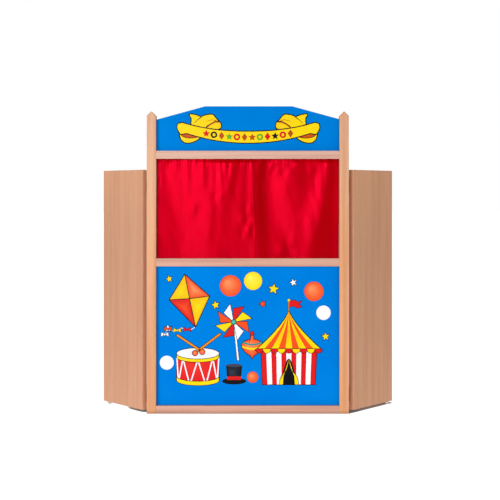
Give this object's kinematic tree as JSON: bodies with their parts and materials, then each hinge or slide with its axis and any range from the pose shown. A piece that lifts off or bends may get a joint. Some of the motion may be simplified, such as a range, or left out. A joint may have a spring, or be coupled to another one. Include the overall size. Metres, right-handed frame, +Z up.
{
  "type": "puppet theatre stand",
  "caption": "Free-standing wooden puppet theatre: front frame with a curtained stage opening, crested header, picture panel and hinged wing boards that fold flat.",
  "frame": {"origin": "middle of the bottom rail's underside, on the floor", "axes": "+X to the viewer's right along the front frame, +Y to the back, +Z up"},
  "size_m": [1.4992, 0.288, 1.523],
  "materials": {
    "beech": "clear satin lacquer on solid steamed beech",
    "beech_veneer": "clear matt lacquer on beech veneer",
    "dowel_wood": "raw fluted beech",
    "blue_paint": "smooth printed blue coating on fibreboard",
    "red_satin": "shiny satin weave",
    "rod_steel": "zinc plated",
    "hinge_steel": "nickel plated, slightly dark",
    "pale_nylon": "moulded nylon"
  },
  "bodies": {
    "front_frame": {"left_post": "beech", "right_post": "beech", "bottom_rail": "beech", "middle_rail": "beech", "top_rail": "beech", "bottom_rail_left_dowel_lower": "dowel_wood", "bottom_rail_left_dowel_upper": "dowel_wood", "bottom_rail_right_dowel_lower": "dowel_wood", "bottom_rail_right_dowel_upper": "dowel_wood", "middle_rail_left_dowel_lower": "dowel_wood", "middle_rail_left_dowel_upper": "dowel_wood", "middle_rail_right_dowel_lower": "dowel_wood", "middle_rail_right_dowel_upper": "dowel_wood", "top_rail_left_dowel_lower": "dowel_wood", "top_rail_left_dowel_upper": "dowel_wood", "top_rail_right_dowel_lower": "dowel_wood", "top_rail_right_dowel_upper": "dowel_wood", "header_board": "blue_paint", "front_panel": "blue_paint", "curtain_rod": "rod_steel", "left_rod_cup": "pale_nylon", "right_rod_cup": "pale_nylon", "left_lower_hinge_pin": "hinge_steel", "left_lower_hinge_post_leaf": "hinge_steel", "left_upper_hinge_pin": "hinge_steel", "left_upper_hinge_post_leaf": "hinge_steel", "right_lower_hinge_pin": "hinge_steel", "right_lower_hinge_post_leaf": "hinge_steel", "right_upper_hinge_pin": "hinge_steel", "right_upper_hinge_post_leaf": "hinge_steel"},
    "left_wing_body": {"left_wing": "beech_veneer", "left_wing_glide": "pale_nylon", "left_lower_hinge_wing_leaf": "hinge_steel", "left_upper_hinge_wing_leaf": "hinge_steel"},
    "right_wing_body": {"right_wing": "beech_veneer", "right_wing_glide": "pale_nylon", "right_lower_hinge_wing_leaf": "hinge_steel", "right_upper_hinge_wing_leaf": "hinge_steel"},
    "left_curtain_body": {"left_curtain": "red_satin"},
    "right_curtain_body": {"right_curtain": "red_satin"}
  },
  "joints": [
    {"name": "left_wing_hinge", "type": "hinge", "parent": "front_frame", "child": "left_wing_body", "pos_m": [-0.5006, 0.0396, 0.61], "axis": [0, 0, -1], "range_deg": [-47, 133]},
    {"name": "right_wing_hinge", "type": "hinge", "parent": "front_frame", "child": "right_wing_body", "pos_m": [0.5006, 0.0396, 0.61], "axis": [0, 0, 1], "range_deg": [-47, 133]},
    {"name": "left_curtain_slide", "type": "slide", "parent": "front_frame", "child": "left_curtain_body", "axis": [-1, 0, 0], "range_m": [0, 0.33], "deforming": ["left_curtain"]},
    {"name": "right_curtain_slide", "type": "slide", "parent": "front_frame", "child": "right_curtain_body", "axis": [1, 0, 0], "range_m": [0, 0.29], "deforming": ["right_curtain"]}
  ]
}
